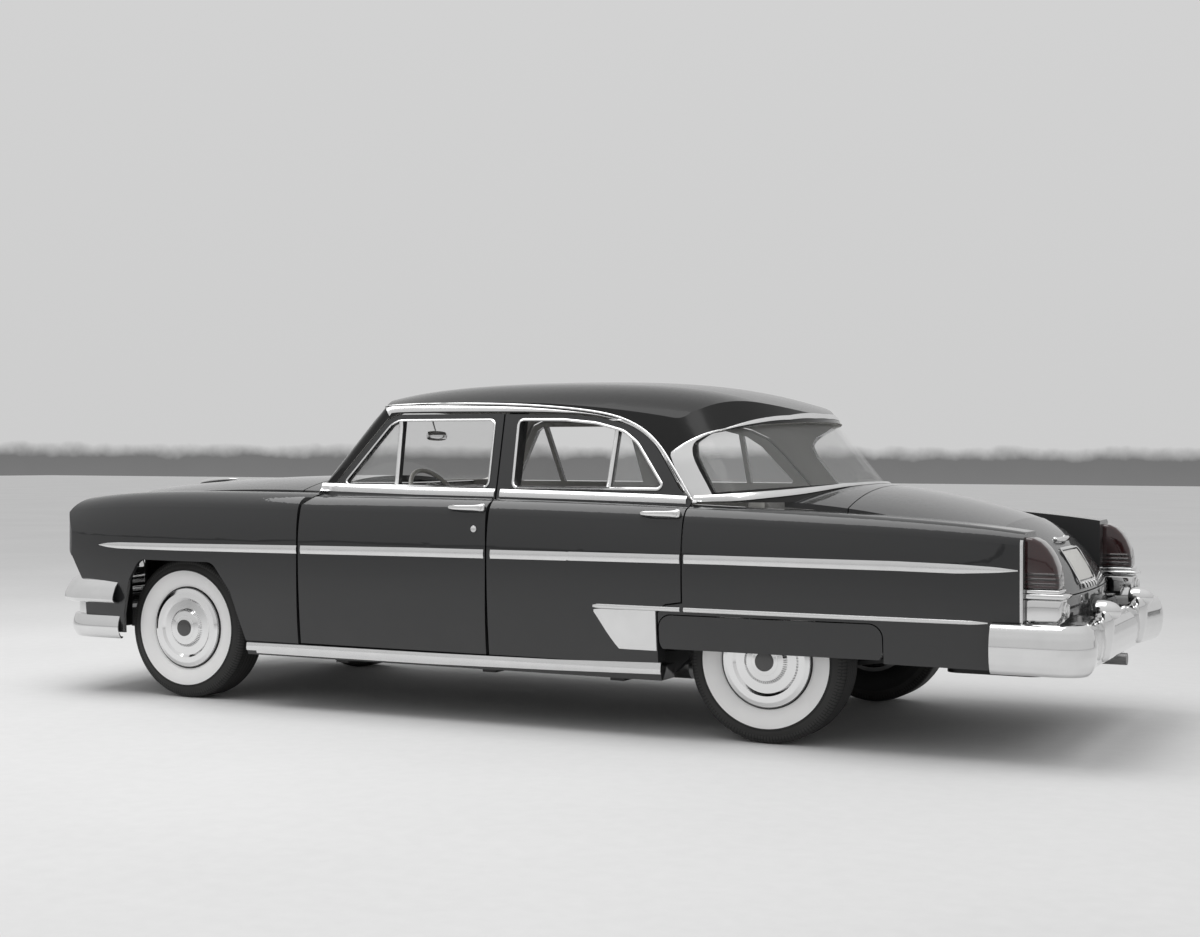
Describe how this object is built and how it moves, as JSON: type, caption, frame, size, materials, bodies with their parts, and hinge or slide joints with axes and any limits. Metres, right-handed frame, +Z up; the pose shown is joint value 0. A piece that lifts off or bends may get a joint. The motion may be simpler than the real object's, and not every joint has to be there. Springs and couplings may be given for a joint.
{
  "type": "four-door sedan",
  "caption": "Long four-door sedan of the 1950s on a separate frame, with hinged doors, hood and luggage lid, steered front wheels and skirted rear wheels.",
  "frame": {"origin": "on the ground, at the middle of the overall length and width", "axes": "+X forward, +Y to the driver's left, +Z up"},
  "size_m": [5.456, 1.966, 1.5936],
  "materials": {
    "body_paint": "deep gloss enamel",
    "roof_paint": "deep gloss enamel",
    "chassis_black": "satin chassis black",
    "bright_metal": "polished plating",
    "clear_glass": "clear flat glass",
    "lamp_glass": "ribbed clear glass",
    "tail_lens": "ribbed dark red lens",
    "tyre_rubber": "black rubber with a pale side band",
    "wheel_paint": "gloss enamel wheel with a bright cover",
    "seat_cloth": "woven cloth with pleats",
    "trim_paint": "satin interior paint",
    "wheel_rim_plastic": "pale moulded rim",
    "cast_metal": "painted castings",
    "shelf_board": "pale covered board",
    "exhaust_steel": "dull steel tube"
  },
  "bodies": {
    "body_and_chassis": {"chassis_frame": "chassis_black", "floor_pan": "chassis_black", "cowl_panel": "body_paint", "centre_pillars": "body_paint", "roof_panel": "roof_paint", "rocker_panels": "body_paint", "front_fender_left": "body_paint", "front_fender_right": "body_paint", "quarter_panel_left": "body_paint", "quarter_panel_right": "body_paint", "fender_skirts": "body_paint", "deck_panel": "body_paint", "rear_panel": "body_paint", "engine_bay_panels": "chassis_black", "radiator": "chassis_black", "front_bumper": "bright_metal", "rear_bumper": "bright_metal", "grille": "bright_metal", "headlamps": "lamp_glass", "headlamp_bezels": "bright_metal", "tail_lamp_lenses": "tail_lens", "tail_lamp_housings": "bright_metal", "windscreen": "clear_glass", "rear_window": "clear_glass", "front_seat": "seat_cloth", "front_seat_frame": "trim_paint", "rear_seat": "seat_cloth", "dashboard": "trim_paint", "steering_column": "trim_paint", "parcel_shelf": "shelf_board", "engine": "cast_metal", "gearbox_and_shaft": "cast_metal", "front_suspension": "chassis_black", "rear_axle": "chassis_black", "rear_springs": "chassis_black", "exhaust": "exhaust_steel", "fuel_tank": "chassis_black"},
    "door_front_left": {"front_door_left": "body_paint", "front_door_glass_left": "clear_glass"},
    "door_front_right": {"front_door_right": "body_paint", "front_door_glass_right": "clear_glass"},
    "door_rear_left": {"rear_door_left": "body_paint", "rear_door_glass_left": "clear_glass"},
    "door_rear_right": {"rear_door_right": "body_paint", "rear_door_glass_right": "clear_glass"},
    "hood": {"hood_panel": "body_paint"},
    "luggage_lid": {"luggage_lid": "body_paint"},
    "knuckle_left": {"knuckle_left": "cast_metal"},
    "knuckle_right": {"knuckle_right": "cast_metal"},
    "tie_rod": {"tie_rod": "chassis_black"},
    "wheel_front_left": {"wheel_front_left": "wheel_paint", "tyre_front_left": "tyre_rubber"},
    "wheel_front_right": {"wheel_front_right": "wheel_paint", "tyre_front_right": "tyre_rubber"},
    "wheel_rear_left": {"wheel_rear_left": "wheel_paint", "tyre_rear_left": "tyre_rubber"},
    "wheel_rear_right": {"wheel_rear_right": "wheel_paint", "tyre_rear_right": "tyre_rubber"},
    "steering_wheel": {"steering_wheel": "wheel_rim_plastic"}
  },
  "joints": [
    {"name": "door_front_left_swing", "type": "hinge", "parent": "body_and_chassis", "child": "door_front_left", "pos_m": [0.982, 0.947, 0.7], "axis": [0, 0, -1], "range_deg": [0, 65]},
    {"name": "door_front_right_swing", "type": "hinge", "parent": "body_and_chassis", "child": "door_front_right", "pos_m": [0.982, -0.947, 0.7], "axis": [0, 0, 1], "range_deg": [0, 65]},
    {"name": "door_rear_left_swing", "type": "hinge", "parent": "body_and_chassis", "child": "door_rear_left", "pos_m": [-0.062, 0.947, 0.7], "axis": [0, 0, -1], "range_deg": [0, 65]},
    {"name": "door_rear_right_swing", "type": "hinge", "parent": "body_and_chassis", "child": "door_rear_right", "pos_m": [-0.062, -0.947, 0.7], "axis": [0, 0, 1], "range_deg": [0, 65]},
    {"name": "hood_lift", "type": "hinge", "parent": "body_and_chassis", "child": "hood", "pos_m": [1.216, 0, 1.1195], "axis": [0, -1, 0], "range_deg": [0, 45]},
    {"name": "luggage_lid_lift", "type": "hinge", "parent": "body_and_chassis", "child": "luggage_lid", "pos_m": [-1.64, 0, 1.0965], "axis": [0, 1, 0], "range_deg": [0, 60]},
    {"name": "steer_left", "type": "hinge", "parent": "body_and_chassis", "child": "knuckle_left", "pos_m": [1.802, 0.655, 0.355], "axis": [0, 0, 1], "range_deg": [-30, 30]},
    {"name": "steer_right", "type": "hinge", "parent": "body_and_chassis", "child": "knuckle_right", "pos_m": [1.802, -0.655, 0.355], "axis": [0, 0, 1], "range_deg": [-30, 30]},
    {"name": "tie_rod_pivot", "type": "hinge", "parent": "knuckle_left", "child": "tie_rod", "pos_m": [1.672, 0.655, 0.283], "axis": [0, 0, 1], "range_deg": [-31, 31]},
    {"name": "steering_wheel_turn", "type": "hinge", "parent": "body_and_chassis", "child": "steering_wheel", "pos_m": [0.566, 0.4, 0.978], "axis": [-0.8343, 0, 0.5513], "range_deg": [-600, 600]},
    {"name": "wheel_front_left_spin", "type": "hinge", "parent": "knuckle_left", "child": "wheel_front_left", "pos_m": [1.802, 0.743, 0.355], "axis": [0, 1, 0], "continuous": true},
    {"name": "wheel_front_right_spin", "type": "hinge", "parent": "knuckle_right", "child": "wheel_front_right", "pos_m": [1.802, -0.743, 0.355], "axis": [0, 1, 0], "continuous": true},
    {"name": "wheel_rear_left_spin", "type": "hinge", "parent": "body_and_chassis", "child": "wheel_rear_left", "pos_m": [-1.322, 0.743, 0.355], "axis": [0, 1, 0], "continuous": true},
    {"name": "wheel_rear_right_spin", "type": "hinge", "parent": "body_and_chassis", "child": "wheel_rear_right", "pos_m": [-1.322, -0.743, 0.355], "axis": [0, 1, 0], "continuous": true}
  ],
  "couplings": [
    {"joint": "steer_right", "follows": "steer_left", "ratio": 1},
    {"joint": "tie_rod_pivot", "follows": "steer_left", "ratio": -1},
    {"joint": "steering_wheel_turn", "follows": "steer_left", "ratio": 20}
  ]
}
